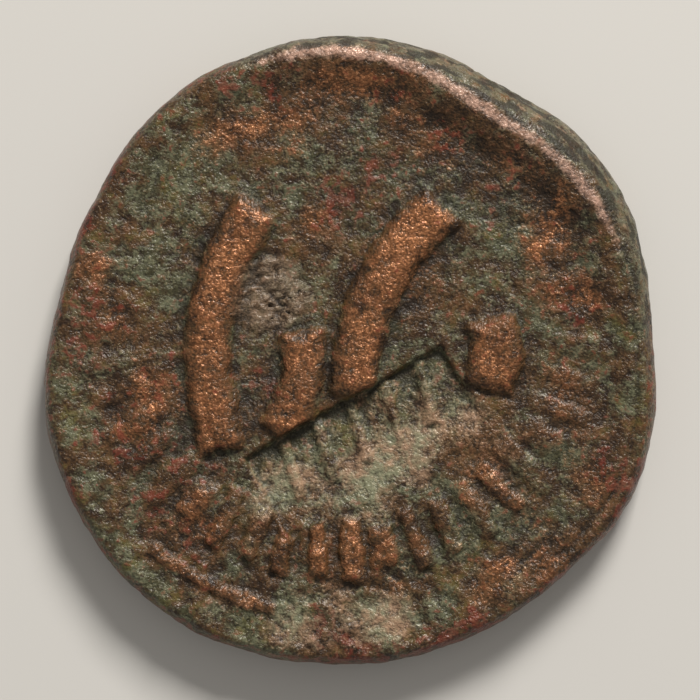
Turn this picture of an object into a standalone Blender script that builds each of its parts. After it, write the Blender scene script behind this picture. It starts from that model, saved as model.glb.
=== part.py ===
"""A struck bronze coin, worn, corroded and countermarked, lying with its portrait side down.

The coin is one solid. Its reverse, which faces up, carries bold strokes in the middle, a ring of short
strokes, a piece of the die's border line and an oblong countermark stamped in later. Its obverse has a
worn head in profile inside a ring of strokes, with its high places rubbed flat where the coin rests.

+Z points out of the reverse and +Y to the top of it. The origin is under the middle of the coin, on the
surface that it lies on.
"""

import math

import bpy
import numpy as np
from mathutils.geometry import delaunay_2d_cdt

MM = 0.001
MIRROR = np.array([-1, 1])  # between the obverse's own u and the coin's x

# Flan: the cast disc that was struck, a circle with flats and bulges
FLAN_RADIUS = 13.2 * MM
FLAN_LOBES = (  # direction in degrees, half spread in degrees, swell
    (5, 16, -0.44 * MM),
    (35, 16, 0.15 * MM),
    (60, 12, -0.25 * MM),
    (97, 22, 0.21 * MM),
    (148, 16, -0.34 * MM),
    (168, 16, -0.52 * MM),
    (205, 22, 0.14 * MM),
    (235, 26, 0.42 * MM),
    (308, 18, -0.16 * MM),
    (333, 14, 0.21 * MM),
)
BELLY_LEVEL = 1.1 * MM  # where the edge is widest

# Levels of the two fields at the foot of the rim, above the surface that the coin lies on
REVERSE_FIELD = 2.25 * MM
OBVERSE_FIELD = 0.45 * MM
FIELD_DISH = 0.16 * MM  # how far the reverse sinks from the foot of the rim to the middle
RUBBED = 0.07 * MM  # worn off the obverse's highest places

# Rim: the shoulder is the rounded run from the edge to the rim's crest
SHOULDER = 0.5 * MM
SHOULDER_SWELL = 1.05 * MM  # more of it where the flan stands out past the die
SHOULDER_CENTRE = 47  # degrees
SHOULDER_SPREAD = 42
LOWER_SHOULDER = 0.55 * MM
RIM_HEIGHT = 0.14 * MM
RIM_SWELL = 0.46 * MM
RIM_CENTRE = 58  # degrees
RIM_SPREAD = 52
RIM_SLOPE = 1.8 * MM  # from the crest in to the field

# Die: the struck design, which sits a little off the flan's centre
DIE_X = -0.4 * MM
DIE_Y = 1.6 * MM
RELIEF_SLOPE = 0.42 * MM  # width of the worn side of a small stroke
BOLD_SLOPE = 0.64 * MM  # and of a bold one
BORDER_RADIUS = 12.75 * MM
BORDER_FROM, BORDER_TO = 231, 257  # degrees
BORDER_WIDTH = 0.4 * MM
BORDER_HEIGHT = 0.16 * MM

# Bold strokes in the middle: start, a point on the way and end in mm from the die's centre, half width
STROKE_HEIGHT = 0.42 * MM
STROKE_FLARE = 0.04 * MM  # how much further the ends stand out to each side
BOLD_STROKES = (
    ((-3.7, 4.3), (-5.55, -0.2), (-5.13, -5.6), 0.7 * MM),
    ((-1.7, -0.95), (-1.75, -2.9), (-2.55, -4.95), 0.68 * MM),
    ((4.05, 4.35), (1.42, 1.0), (0.44, -3.2), 0.74 * MM),
    ((6.3, -0.45), (6.45, -1.7), (6.2, -2.95), 0.8 * MM),
)

# Ring of short strokes on the reverse
LEGEND_RADIUS = 9.95 * MM
LEGEND_HEIGHT = 2.5 * MM  # along the radius
LEGEND_HALF_WIDTH = 0.27 * MM
LEGEND_RELIEF = 0.27 * MM
LEGEND_FROM, LEGEND_TO = 160, 380  # degrees round the die's centre
LEGEND_PITCH = 8.0  # degrees
LEGEND_CLEAREST = 273  # degrees: the ring is least worn here
LEGEND_CLEAR_SPREAD = 50
LEGEND_WORN_SHARE = 0.2  # of the relief, where the ring is most worn
LEGEND_PATTERN = (  # slant in degrees, share of the height, share of the width
    (0, 1.0, 1.0),
    (5, 0.9, 0.85),
    (-3, 1.0, 1.15),
    (0, 0.6, 1.4),
    (4, 1.0, 0.9),
    (-5, 0.85, 1.0),
)

# Countermark: an oblong stamped in from one long side, so that its floor rises to nothing at the other
MARK_CORNER = (3.78 * MM, 0.36 * MM)  # the upper right corner
MARK_LENGTH = 9.75 * MM
MARK_WIDTH = 4.15 * MM
MARK_TILT = 29.8  # degrees, of the long sides
MARK_DEPTH = 0.42 * MM
MARK_WALL = 0.22 * MM
MARK_STROKES = 5
MARK_STROKE_LENGTH = 2.5 * MM
MARK_STROKE_HALF_WIDTH = 0.17 * MM
MARK_STROKE_RELIEF = 0.17 * MM
MARK_STROKE_LEAN = 14  # degrees

# Head on the obverse, in shares of its height from chin to crown, facing +u, which is -X
HEAD_HEIGHT = 11.6 * MM
HEAD_MIDDLE_V = 0.9 * MM
HEAD_RELIEF = 0.36 * MM
HEAD_SLOPE = 0.7 * MM
HEAD_OUTLINE = (
    (0.00, 1.00), (0.20, 0.96), (0.35, 0.86), (0.415, 0.74), (0.435, 0.655), (0.405, 0.60),
    (0.445, 0.50), (0.505, 0.405), (0.43, 0.365), (0.45, 0.305), (0.415, 0.275), (0.435, 0.235),
    (0.395, 0.19), (0.41, 0.11), (0.34, 0.02), (0.18, 0.00), (0.09, -0.10), (0.10, -0.25),
    (0.20, -0.37), (-0.05, -0.41), (-0.33, -0.36), (-0.30, -0.16), (-0.31, 0.08), (-0.40, 0.30),
    (-0.47, 0.56), (-0.42, 0.80), (-0.24, 0.95),
)  # fmt: skip
HEAD_FORMS = (  # u, v, half spread along u, half spread along v, height, all in shares
    (0.20, 0.36, 0.15, 0.13, 0.014),  # cheek
    (0.37, 0.66, 0.09, 0.03, 0.013),  # brow
    (0.34, 0.575, 0.075, 0.035, -0.024),  # eye socket
    (0.335, 0.565, 0.045, 0.02, 0.021),  # eyeball
    (0.43, 0.45, 0.035, 0.08, 0.007),  # nose
    (0.405, 0.385, 0.03, 0.02, 0.008),  # wing of the nose
    (0.42, 0.318, 0.05, 0.013, 0.006),  # upper lip
    (0.42, 0.275, 0.055, 0.012, -0.014),  # mouth
    (0.41, 0.24, 0.05, 0.013, 0.006),  # lower lip
    (0.38, 0.19, 0.05, 0.02, -0.010),  # crease over the chin
    (-0.01, 0.46, 0.055, 0.09, 0.014),  # ear
    (0.0, 0.47, 0.025, 0.055, -0.021),  # hollow of the ear
    (0.10, 0.03, 0.16, 0.035, -0.017),  # under the jaw
    (-0.12, -0.10, 0.05, 0.18, 0.007),  # muscle of the neck
)
HAIR_EDGE = ((0.33, 0.82), (0.10, 0.62), (0.06, 0.50), (-0.10, 0.30), (-0.28, 0.12))
HAIR_SOFTNESS = 0.03  # shares of the head's height from here on
HAIR_RAISED = 0.003
LOCK_PITCH = 0.12
LOCK_SLANT = 0.35
LOCK_WAVE = 0.1
LOCK_WAVES = 9  # radians of the wave over the head's height
LOCK_RELIEF = 0.011

# Ring of strokes on the obverse, round the flan's centre
OBVERSE_RING_RADIUS = 10.2 * MM
OBVERSE_RING_FROM, OBVERSE_RING_TO = -56, 236  # degrees, from +u
OBVERSE_RING_RELIEF = 0.15 * MM

# Faceting
EDGE_POINTS = 144
EDGE_STEPS = (62, 38, 18, 0, -22, -42, -62)  # degrees up and down the rounded edge
SHARP_ANGLE = 50  # degrees: edges flatter than this are shaded smooth
RIM_POINTS = 72
FIELD_SPACING = 1.15 * MM
HEAD_SPACING = 0.5 * MM
HEAD_SPAN_POINTS = 4
STROKE_STATIONS = 10  # along a curved bar
BAR_STATIONS = 2  # along a straight bar
BAR_FOOT_STATIONS = 3
MARK_SIDE_POINTS = 8
NARROWEST_TOP = 0.6  # how far a stroke's side may reach under its top, as a share of its half width
EDGE_CLEARANCE = 0.1 * MM  # from a face's boundary to the lines inside it
LOOSE_CLEARANCE = 0.55  # from a loose point to the lines, as a share of the spacing
WELD = 0.03 * MM  # points of the faces nearer to each other than this become one


def ease(value, low, high):
    """0 below low, 1 above high and smooth between them."""
    share = np.clip((value - low) / (high - low), 0, 1)
    return share * share * (3 - 2 * share)


def swell(angle, centre, spread):
    """A bump of height 1 round the coin: all in degrees."""
    away = (angle - centre + 180) % 360 - 180
    return np.exp(-((away / spread) ** 2))


def flan_radius(angle):
    """How far the coin reaches in a direction given in degrees."""
    lobes = sum(size * swell(angle, centre, spread) for centre, spread, size in FLAN_LOBES)
    return FLAN_RADIUS + lobes


def upper_shoulder(angle):
    return SHOULDER + SHOULDER_SWELL * swell(angle, SHOULDER_CENTRE, SHOULDER_SPREAD)


def rim_height(angle):
    return RIM_HEIGHT + RIM_SWELL * swell(angle, RIM_CENTRE, RIM_SPREAD)


def polar(x, y):
    return np.hypot(x, y), np.degrees(np.arctan2(y, x))


class Stroke:
    """A raised bar with square ends along a smooth line through three points, in metres."""

    def __init__(self, ends, half_width, height, flare=0.0, slope=RELIEF_SLOPE, stations=STROKE_STATIONS):
        start, middle, end = (np.array(p, float) for p in ends)
        t = np.linspace(0, 1, stations + 1)[:, None]
        self.line = (1 - t) * (1 - 2 * t) * start + 4 * t * (1 - t) * middle + t * (2 * t - 1) * end
        steps = np.diff(self.line, axis=0)
        self.lengths = np.hypot(*steps.T)
        self.along = steps / self.lengths[:, None]
        self.begins = np.concatenate([[0], np.cumsum(self.lengths)])[:-1]
        self.length = self.lengths.sum()
        self.half_width, self.height, self.flare = half_width, height, flare
        self.slope = min(slope / 2, half_width * NARROWEST_TOP)

    def width_at(self, s):
        to_end = np.clip(np.abs(2 * s / self.length - 1), 0, 1)
        return self.half_width + self.flare * to_end**4

    def outside(self, x, y):
        """How far each point is outside the bar, and less than 0 inside it."""
        points = np.stack([x, y], axis=1)
        rel = points[:, None, :] - self.line[None, :-1]
        low, high = np.zeros(len(self.lengths)), self.lengths.copy()
        low[0], high[-1] = -np.inf, np.inf
        run = np.clip((rel * self.along).sum(axis=2), low, high)
        off = np.hypot(*np.moveaxis(rel - run[..., None] * self.along, 2, 0))
        nearest = off.argmin(axis=1)
        rows = np.arange(len(points))
        s = self.begins[nearest] + run[rows, nearest]
        side = off[rows, nearest] - self.width_at(s)
        end = np.abs(s - self.length / 2) - self.length / 2
        return np.hypot(np.maximum(side, 0), np.maximum(end, 0)) + np.minimum(np.maximum(side, end), 0)

    def relief(self, x, y):
        return self.height * (1 - ease(self.outside(x, y), -self.slope, self.slope))

    def ring(self, grow, stations):
        """The bar's outline, moved out by grow."""
        s = np.linspace(-grow, self.length + grow, stations + 1)
        piece = np.clip(np.searchsorted(self.begins, s) - 1, 0, len(self.lengths) - 1)
        on_line = self.line[piece] + self.along[piece] * (s - self.begins[piece])[:, None]
        normal = np.stack([-self.along[piece, 1], self.along[piece, 0]], axis=1)
        reach = (self.width_at(s) + grow)[:, None]
        return np.concatenate([on_line + normal * reach, (on_line - normal * reach)[::-1]])


def on_die(point):
    """A point given in millimetres from the die's centre."""
    return DIE_X + point[0] * MM, DIE_Y + point[1] * MM


def bold_strokes():
    return [
        Stroke(map(on_die, line), half_width, STROKE_HEIGHT, STROKE_FLARE, BOLD_SLOPE)
        for *line, half_width in BOLD_STROKES
    ]


def border_stroke():
    middle = (BORDER_FROM + BORDER_TO) / 2
    ends = []
    for angle in (BORDER_FROM, middle, BORDER_TO):
        turn = math.radians(angle)
        ends.append((DIE_X + BORDER_RADIUS * math.cos(turn), DIE_Y + BORDER_RADIUS * math.sin(turn)))
    return Stroke(ends, BORDER_WIDTH / 2, BORDER_HEIGHT)


def radial_strokes(centre, radius, first, last, relief_at):
    """A ring of bars that point outwards, with their slants and sizes from LEGEND_PATTERN."""
    strokes = []
    for number, angle in enumerate(np.arange(first, last + 0.01, LEGEND_PITCH)):
        slant, tall, wide = LEGEND_PATTERN[number % len(LEGEND_PATTERN)]
        out = np.array([math.cos(math.radians(angle)), math.sin(math.radians(angle))])
        lean = np.array([math.cos(math.radians(angle + slant)), math.sin(math.radians(angle + slant))])
        middle = np.array(centre) + out * radius
        half = lean * LEGEND_HEIGHT * tall / 2
        ends = middle - half, middle, middle + half
        strokes.append(Stroke(ends, LEGEND_HALF_WIDTH * wide, relief_at(angle), stations=BAR_STATIONS))
    return strokes


def legend_relief(angle):
    clear = swell(angle, LEGEND_CLEAREST, LEGEND_CLEAR_SPREAD)
    return LEGEND_RELIEF * (LEGEND_WORN_SHARE + (1 - LEGEND_WORN_SHARE) * clear)


def legend_strokes():
    return radial_strokes((DIE_X, DIE_Y), LEGEND_RADIUS, LEGEND_FROM, LEGEND_TO, legend_relief)


def mark_point(a, b):
    """A point of the countermark: a from its upper right corner along the long side, b across it."""
    turn = math.radians(MARK_TILT)
    return (
        MARK_CORNER[0] - a * math.cos(turn) + b * math.sin(turn),
        MARK_CORNER[1] - a * math.sin(turn) - b * math.cos(turn),
    )


def in_mark(x, y):
    """(a, b) of mark_point for each point, and 1 on the countermark's floor falling to 0 up its wall."""
    turn = math.radians(MARK_TILT)
    dx, dy = x - MARK_CORNER[0], y - MARK_CORNER[1]
    a = -dx * math.cos(turn) - dy * math.sin(turn)
    b = dx * math.sin(turn) - dy * math.cos(turn)
    past_a = np.abs(a - MARK_LENGTH / 2) - MARK_LENGTH / 2
    past_b = np.abs(b - MARK_WIDTH / 2) - MARK_WIDTH / 2
    past = np.hypot(np.maximum(past_a, 0), np.maximum(past_b, 0)) + np.minimum(np.maximum(past_a, past_b), 0)
    return a, b, 1 - ease(past, -MARK_WALL, 0)


def mark_ring(shrink):
    """The countermark's outline, moved in by shrink."""
    a0, a1, b0, b1 = shrink, MARK_LENGTH - shrink, shrink, MARK_WIDTH - shrink
    steps = (np.arange(MARK_SIDE_POINTS) / MARK_SIDE_POINTS)[:, None]
    corners = [mark_point(a, b) for a, b in ((a0, b0), (a1, b0), (a1, b1), (a0, b1))]
    sides = zip(corners, corners[1:] + corners[:1])
    return np.concatenate([np.array(p) + steps * (np.array(q) - np.array(p)) for p, q in sides])


def mark_strokes():
    """A row of thin bars across the countermark's floor."""
    strokes = []
    pitch = MARK_LENGTH / (MARK_STROKES + 1)
    lean = math.tan(math.radians(MARK_STROKE_LEAN)) * MARK_STROKE_LENGTH / 2
    middle_b = MARK_WALL + MARK_STROKE_LENGTH / 2
    for number in range(MARK_STROKES):
        middle_a = pitch * (number + 1)
        ends = [
            mark_point(middle_a + lean * end, middle_b + end * MARK_STROKE_LENGTH / 2) for end in (-1, 0, 1)
        ]
        strokes.append(Stroke(ends, MARK_STROKE_HALF_WIDTH, MARK_STROKE_RELIEF, stations=BAR_STATIONS))
    return strokes


def tallest(strokes, x, y):
    return np.max([bar.relief(x, y) for bar in strokes], axis=0)


def reverse_level(x, y):
    """Height of the reverse above the surface that the coin lies on."""
    radius, angle = polar(x, y)
    inside = flan_radius(angle) - radius
    shoulder = upper_shoulder(angle)
    crest = REVERSE_FIELD + rim_height(angle)
    fall = ease(inside, shoulder, shoulder + RIM_SLOPE)
    foot = flan_radius(angle) - shoulder - RIM_SLOPE
    dish = FIELD_DISH * (1 - np.clip(radius / foot, 0, 1) ** 2)
    level = crest - rim_height(angle) * fall - dish * fall
    struck = ease(inside, shoulder, shoulder + RIM_SLOPE / 2)
    a, b, floor = in_mark(x, y)
    design = tallest([*bold_strokes(), *legend_strokes(), border_stroke()], x, y)
    level += struck * design * (1 - floor)
    shallower = np.clip(1 - b / MARK_WIDTH, 0, 1)
    level += floor * (tallest(mark_strokes(), x, y) - MARK_DEPTH * shallower)
    rounded = np.sqrt(1 - np.clip(1 - inside / shoulder, 0, 1) ** 2)
    return np.where(inside < shoulder, BELLY_LEVEL + (crest - BELLY_LEVEL) * rounded, level)


def smooth_loop(points, per_span):
    """A closed smooth curve through the points."""
    p = np.array(points, float)
    before, after, next_after = np.roll(p, 1, axis=0), np.roll(p, -1, axis=0), np.roll(p, -2, axis=0)
    t = (np.arange(per_span) / per_span)[None, :, None]
    a, b, c, d = (q[:, None, :] for q in (before, p, after, next_after))
    curve = 0.5 * (
        2 * b + (c - a) * t + (2 * a - 5 * b + 4 * c - d) * t**2 + (3 * b - a - 3 * c + d) * t**3
    )
    return curve.reshape(-1, 2)


def distance_to_line(points, line):
    """Distance from each point to a line of points."""
    start, step = line[:-1], np.diff(line, axis=0)
    rel = points[:, None, :] - start[None]
    share = np.clip((rel * step).sum(axis=2) / (step**2).sum(axis=1), 0, 1)
    return np.hypot(*np.moveaxis(rel - share[..., None] * step, 2, 0)).min(axis=1)


def inside_loop(points, loop):
    """True for each point inside a closed loop."""
    x, y = points.T
    crossings = np.zeros(len(points), bool)
    for (x0, y0), (x1, y1) in zip(loop, np.roll(loop, -1, axis=0)):
        if y0 == y1:
            continue
        crossings ^= ((y0 > y) != (y1 > y)) & (x < x0 + (x1 - x0) * (y - y0) / (y1 - y0))
    return crossings


def head_loop(shrink=0.0):
    """The head's outline in (u, v) metres, moved in by shrink."""
    chin = np.array([0, HEAD_MIDDLE_V - HEAD_HEIGHT / 2])
    loop = smooth_loop(HEAD_OUTLINE, HEAD_SPAN_POINTS) * HEAD_HEIGHT + chin
    turn = np.roll(loop, -1, axis=0) - np.roll(loop, 1, axis=0)
    inward = np.stack([turn[:, 1], -turn[:, 0]], axis=1)
    return loop + shrink * inward / np.hypot(*inward.T)[:, None]


def head_relief(u, v):
    """How far the head stands out of the obverse."""
    points = np.stack([u, v], axis=1)
    loop = head_loop()
    depth = distance_to_line(points, np.concatenate([loop, loop[:1]]))
    depth[~inside_loop(points, loop)] = 0
    body = ease(depth, 0, HEAD_SLOPE)
    share_u, share_v = u / HEAD_HEIGHT, (v - HEAD_MIDDLE_V) / HEAD_HEIGHT + 0.5
    forms = sum(
        size * np.exp(-(((share_u - at_u) / wide) ** 2) - ((share_v - at_v) / tall) ** 2)
        for at_u, at_v, wide, tall, size in HEAD_FORMS
    )
    edge_u, edge_v = np.array(HAIR_EDGE).T
    in_front = 2
    over_edge = share_v - np.interp(share_u, edge_u[::-1], edge_v[::-1], right=in_front)
    hair = ease(over_edge, -HAIR_SOFTNESS / 3, HAIR_SOFTNESS * 2 / 3)
    across = share_v - LOCK_SLANT * share_u + LOCK_WAVE * np.sin(LOCK_WAVES * share_u)
    locks = np.sin(2 * math.pi * across / LOCK_PITCH)
    forms += hair * (HAIR_RAISED + LOCK_RELIEF * locks)
    return body * (HEAD_RELIEF + forms * HEAD_HEIGHT)


def obverse_ring():
    ends = OBVERSE_RING_FROM, OBVERSE_RING_TO
    return radial_strokes((0, 0), OBVERSE_RING_RADIUS, *ends, lambda angle: OBVERSE_RING_RELIEF)


def obverse_level(x, y):
    """Height of the obverse, which faces down, above the surface that the coin lies on."""
    radius, angle = polar(x, y)
    inside = flan_radius(angle) - radius
    fall = ease(inside, LOWER_SHOULDER, LOWER_SHOULDER + RIM_SLOPE)
    struck = ease(inside, LOWER_SHOULDER, LOWER_SHOULDER + RIM_SLOPE / 2)
    design = np.maximum(head_relief(-x, y), tallest(obverse_ring(), -x, y))
    level = (OBVERSE_FIELD + RUBBED) * fall - struck * design
    rounded = np.sqrt(1 - np.clip(1 - inside / LOWER_SHOULDER, 0, 1) ** 2)
    level = np.where(inside < LOWER_SHOULDER, BELLY_LEVEL + RUBBED - (BELLY_LEVEL + RUBBED) * rounded, level)
    return np.maximum(level - RUBBED, 0)


def edge_ring(step):
    """The coin's edge at one step round its rounding, in degrees up from where it is widest."""
    angle = np.arange(EDGE_POINTS) * 360 / EDGE_POINTS
    turn = math.radians(abs(step))
    if step >= 0:
        shoulder, crest = upper_shoulder(angle), REVERSE_FIELD + rim_height(angle)
    else:
        shoulder, crest = np.full(EDGE_POINTS, LOWER_SHOULDER), np.full(EDGE_POINTS, -RUBBED)
    radius = flan_radius(angle) - shoulder * (1 - math.cos(turn))
    level = BELLY_LEVEL + (crest - BELLY_LEVEL) * math.sin(turn)
    around = np.radians(angle)
    return np.stack([radius * np.cos(around), radius * np.sin(around), level], axis=1)


def rim_loops(shoulder_at):
    """The crest and the foot of a rim, as loops of points."""
    angle = np.arange(RIM_POINTS) * 360 / RIM_POINTS
    around = np.radians(angle)
    loops = []
    for share in (0, 0.5, 1):
        radius = flan_radius(angle) - shoulder_at(angle) - share * RIM_SLOPE
        loops.append(np.stack([radius * np.cos(around), radius * np.sin(around)], axis=1))
    return loops


def filled(boundary, loops, fillings):
    """Triangles that fill the boundary and keep the loops as edges: (points, triangles), boundary first.

    Loose points fill the rest: a filling is their spacing and a function that says where they go.
    """
    points, edges = [tuple(p) for p in boundary], []
    for loop in loops:
        off = distance_to_line(loop, np.concatenate([boundary, boundary[:1]]))
        fits = inside_loop(loop, boundary) & (off > EDGE_CLEARANCE)
        index = [len(points) + n if ok else None for n, ok in zip(np.cumsum(fits) - 1, fits)]
        points += [tuple(p) for p in loop[fits]]
        edges += [(a, b) for a, b in zip(index, index[1:] + index[:1]) if a is not None and b is not None]
    reach = np.abs(boundary).max()
    for spacing, wanted in fillings:
        across = np.arange(-reach, reach, spacing)
        rows = np.arange(-reach, reach, spacing * math.sqrt(3) / 2)
        grid = np.array([(x + (n % 2) * spacing / 2, y) for n, y in enumerate(rows) for x in across])
        grid = grid[inside_loop(grid, boundary) & wanted(grid)]
        off = np.hypot(*np.moveaxis(grid[:, None] - np.array(points)[None], 2, 0)).min(axis=1)
        points += [tuple(p) for p in grid[off > spacing * LOOSE_CLEARANCE]]
    ring = list(range(len(boundary)))
    in_mm = [(x / MM, y / MM) for x, y in points]
    found, _, triangles, sources, _, _ = delaunay_2d_cdt(in_mm, edges, [ring], 1, WELD / MM, True)
    first = {old: new for new, olds in enumerate(sources) for old in olds if old < len(ring)}
    order = [first[n] for n in ring]
    order += sorted(set(range(len(found))) - set(order))
    place = {old: new for new, old in enumerate(order)}
    at = np.array([found[n] for n in order]) * MM
    middles = np.array([at[[place[n] for n in t]].mean(axis=0) for t in triangles])
    kept = [t for t, inside in zip(triangles, inside_loop(middles, at[: len(boundary)])) if inside]
    return at, [tuple(place[n] for n in t) for t in kept]


def bar_loops(bars):
    """The foot and the top of each straight bar, as loops of points."""
    loops = []
    for bar in bars:
        loops += [bar.ring(bar.slope, BAR_FOOT_STATIONS), bar.ring(-bar.slope, BAR_STATIONS)]
    return loops


def reverse_face(boundary):
    loops = rim_loops(upper_shoulder)
    for bar in [*bold_strokes(), border_stroke()]:
        loops += [bar.ring(bar.slope, STROKE_STATIONS), bar.ring(-bar.slope, STROKE_STATIONS)]
    loops += bar_loops([*legend_strokes(), *mark_strokes()])
    loops += [mark_ring(0), mark_ring(MARK_WALL)]
    at, triangles = filled(boundary, loops, [(FIELD_SPACING, everywhere)])
    return np.column_stack([at, reverse_level(*at.T)]), triangles


def everywhere(points):
    return np.full(len(points), True)


def on_head(points):
    """True for each point of the obverse, given in x and y, that lies on the head."""
    return inside_loop(points * MIRROR, head_loop())


def off_head(points):
    return ~on_head(points)


def obverse_face(boundary):
    loops = rim_loops(lambda angle: np.full(len(angle), LOWER_SHOULDER))
    design = [head_loop(), head_loop(HEAD_SLOPE), *bar_loops(obverse_ring())]
    loops += [loop * MIRROR for loop in design]
    at, triangles = filled(boundary, loops, [(HEAD_SPACING, on_head), (FIELD_SPACING, off_head)])
    return np.column_stack([at, obverse_level(*at.T)]), triangles


def coin_mesh():
    """The whole coin as one closed mesh: reverse, edge and obverse share their rings of points."""
    rings = [edge_ring(step) for step in EDGE_STEPS]
    top, top_triangles = reverse_face(rings[0][:, :2])
    bottom, bottom_triangles = obverse_face(rings[-1][:, :2])
    top[:EDGE_POINTS], bottom[:EDGE_POINTS] = rings[0], rings[-1]
    points = np.concatenate([top, bottom, *rings[1:-1]])
    under = len(top)
    faces = list(top_triangles)
    faces += [tuple(under + n for n in reversed(t)) for t in bottom_triangles]
    between = len(top) + len(bottom)
    starts = [0, *(between + n * EDGE_POINTS for n in range(len(rings) - 2)), under]
    for upper, lower in zip(starts, starts[1:]):
        for n in range(EDGE_POINTS):
            m = (n + 1) % EDGE_POINTS
            faces.append((upper + n, lower + n, lower + m, upper + m))
    middle = (points.min(axis=0) + points.max(axis=0)) / 2
    points[:, :2] -= middle[:2]
    mesh = bpy.data.meshes.new("coin")
    mesh.from_pydata(points.tolist(), [], faces)
    mesh.validate()
    mesh.shade_smooth()
    mesh.set_sharp_from_angle(angle=math.radians(SHARP_ANGLE))
    return mesh


def patinated_bronze():
    material = bpy.data.materials.new("patinated_bronze")
    material.use_nodes = True
    shader = material.node_tree.nodes["Principled BSDF"]
    shader.inputs["Base Color"].default_value = (0.16, 0.12, 0.08, 1)
    shader.inputs["Metallic"].default_value = 0.35
    shader.inputs["Roughness"].default_value = 0.6
    return material


def main():
    for old in list(bpy.data.objects):
        bpy.data.objects.remove(old)
    coin = bpy.data.objects.new("coin", coin_mesh())
    coin.data.materials.append(patinated_bronze())
    bpy.context.scene.collection.objects.link(coin)


main()
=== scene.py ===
"""The finished look of a worn, patinated struck bronze coin, lying with its portrait side down."""

import math
from itertools import product

import bpy
import numpy as np
from bpy.props import FloatProperty, FloatVectorProperty, PointerProperty
from bpy.types import Operator, Panel, PropertyGroup
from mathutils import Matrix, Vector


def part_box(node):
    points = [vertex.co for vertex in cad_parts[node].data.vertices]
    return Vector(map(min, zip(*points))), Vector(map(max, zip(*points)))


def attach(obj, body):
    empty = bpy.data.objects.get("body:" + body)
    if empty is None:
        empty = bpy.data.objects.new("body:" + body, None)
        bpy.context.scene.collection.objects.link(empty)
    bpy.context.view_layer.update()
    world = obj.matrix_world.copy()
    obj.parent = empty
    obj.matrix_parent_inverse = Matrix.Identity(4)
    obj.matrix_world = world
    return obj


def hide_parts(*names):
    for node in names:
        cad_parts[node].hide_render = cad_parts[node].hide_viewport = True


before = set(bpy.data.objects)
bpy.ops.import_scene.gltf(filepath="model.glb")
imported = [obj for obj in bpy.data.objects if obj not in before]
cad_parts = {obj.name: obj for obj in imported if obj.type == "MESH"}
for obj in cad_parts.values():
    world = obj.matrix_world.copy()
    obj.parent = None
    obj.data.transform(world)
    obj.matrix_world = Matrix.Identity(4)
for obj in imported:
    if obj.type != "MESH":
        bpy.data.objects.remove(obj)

bl_info = {
    "name": "Struck Bronze Coin",
    "version": (1, 0, 0),
    "blender": (4, 5, 0),
    "location": "View3D > Sidebar > Coin",
    "description": "Adds a worn, patinated bronze coin with a countermark, and a plain studio",
    "category": "Add Mesh",
}

MM = 0.001
COIN_LOW, COIN_HIGH = (np.array(corner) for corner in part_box("coin"))

# Flan: a circle with flats and bulges, each with a direction and half spread in degrees and a swell
FLAN_RADIUS = 13.2 * MM
FLAN_LOBES = (
    (5, 16, -0.44 * MM),
    (35, 16, 0.15 * MM),
    (60, 12, -0.25 * MM),
    (97, 22, 0.21 * MM),
    (148, 16, -0.34 * MM),
    (168, 16, -0.52 * MM),
    (205, 22, 0.14 * MM),
    (235, 26, 0.42 * MM),
    (308, 18, -0.16 * MM),
    (333, 14, 0.21 * MM),
)
BELLY_LEVEL = 1.1 * MM
REVERSE_FIELD = 2.25 * MM
OBVERSE_FIELD = 0.45 * MM
FIELD_DISH = 0.16 * MM
RUBBED = 0.07 * MM

# Rim
SHOULDER = 0.5 * MM
SHOULDER_SWELL = 1.05 * MM
SHOULDER_CENTRE = 47
SHOULDER_SPREAD = 42
LOWER_SHOULDER = 0.55 * MM
RIM_HEIGHT = 0.14 * MM
RIM_SWELL = 0.46 * MM
RIM_CENTRE = 58
RIM_SPREAD = 52
RIM_SLOPE = 1.8 * MM

# Die: lengths in millimetres from its centre where a comment says so
DIE_X = -0.4 * MM
DIE_Y = 1.6 * MM
RELIEF_SLOPE = 0.42 * MM
BOLD_SLOPE = 0.64 * MM
BORDER_RADIUS = 12.75 * MM
BORDER_FROM, BORDER_TO = 231, 257
BORDER_WIDTH = 0.4 * MM
BORDER_HEIGHT = 0.16 * MM
STROKE_FLARE = 0.04 * MM
STROKE_CROWN = 0.8  # how steep a stroke's sides are at its foot, and how round its top
BOLD_STROKES = (  # start, a point on the way and end in mm from the die's centre, half width
    ((-3.7, 4.3), (-5.55, -0.2), (-5.13, -5.6), 0.7 * MM),
    ((-1.7, -0.95), (-1.75, -2.9), (-2.55, -4.95), 0.68 * MM),
    ((4.05, 4.35), (1.42, 1.0), (0.44, -3.2), 0.74 * MM),
    ((6.3, -0.45), (6.45, -1.7), (6.2, -2.95), 0.8 * MM),
)

# Ring of short strokes
LEGEND_RADIUS = 9.95 * MM
LEGEND_HEIGHT = 2.5 * MM
LEGEND_HALF_WIDTH = 0.27 * MM
LEGEND_FROM, LEGEND_TO = 160, 380
LEGEND_PITCH = 8.0
LEGEND_CLEAREST = 273
LEGEND_CLEAR_SPREAD = 50
LEGEND_WORN_SHARE = 0.2
LEGEND_PATTERN = (  # slant in degrees, share of the height, share of the width
    (0, 1.0, 1.0),
    (5, 0.9, 0.85),
    (-3, 1.0, 1.15),
    (0, 0.6, 1.4),
    (4, 1.0, 0.9),
    (-5, 0.85, 1.0),
)

# Countermark
MARK_CORNER = (3.78 * MM, 0.36 * MM)
MARK_LENGTH = 9.75 * MM
MARK_WIDTH = 4.15 * MM
MARK_TILT = 29.8
MARK_WALL = 0.22 * MM
MARK_STROKES = 5
MARK_STROKE_LENGTH = 2.5 * MM
MARK_STROKE_HALF_WIDTH = 0.17 * MM
MARK_STROKE_LEAN = 14

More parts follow.
